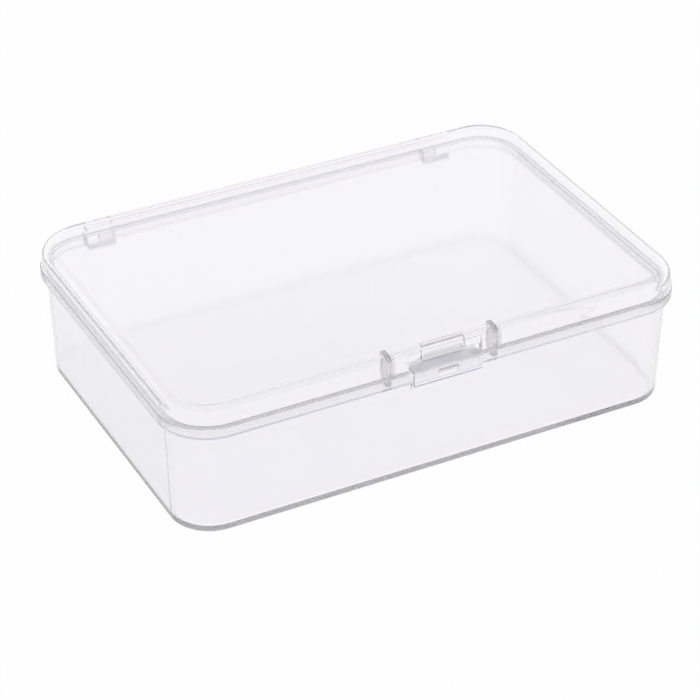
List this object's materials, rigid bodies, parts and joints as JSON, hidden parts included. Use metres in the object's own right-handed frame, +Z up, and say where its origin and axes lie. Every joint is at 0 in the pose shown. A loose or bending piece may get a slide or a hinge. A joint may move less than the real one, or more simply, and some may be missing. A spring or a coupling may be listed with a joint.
{
  "type": "clear hinged storage box",
  "caption": "Small clear rectangular box with a flat hinged lid and a front snap latch, for keeping craft pieces, cards or small parts.",
  "frame": {"origin": "on the table, under the middle of the tray", "axes": "+X along the box, -Y towards the latch, +Z up"},
  "size_m": [0.095, 0.0684, 0.025],
  "materials": {
    "clear_plastic": "clear, polished"
  },
  "bodies": {
    "tray_body": {"tray": "clear_plastic"},
    "lid_body": {"lid": "clear_plastic"},
    "latch_body": {"latch_tongue": "clear_plastic"}
  },
  "joints": [
    {"name": "lid_hinge", "type": "hinge", "parent": "tray_body", "child": "lid_body", "pos_m": [0, 0.03395, 0.01935], "axis": [-1, 0, 0], "range_deg": [0, 180]},
    {"name": "latch_flex", "type": "hinge", "parent": "lid_body", "child": "latch_body", "pos_m": [0, -0.0305, 0.0244], "axis": [-1, 0, 0], "range_deg": [0, 12], "stiffness_Nm_per_rad": 0.05}
  ]
}
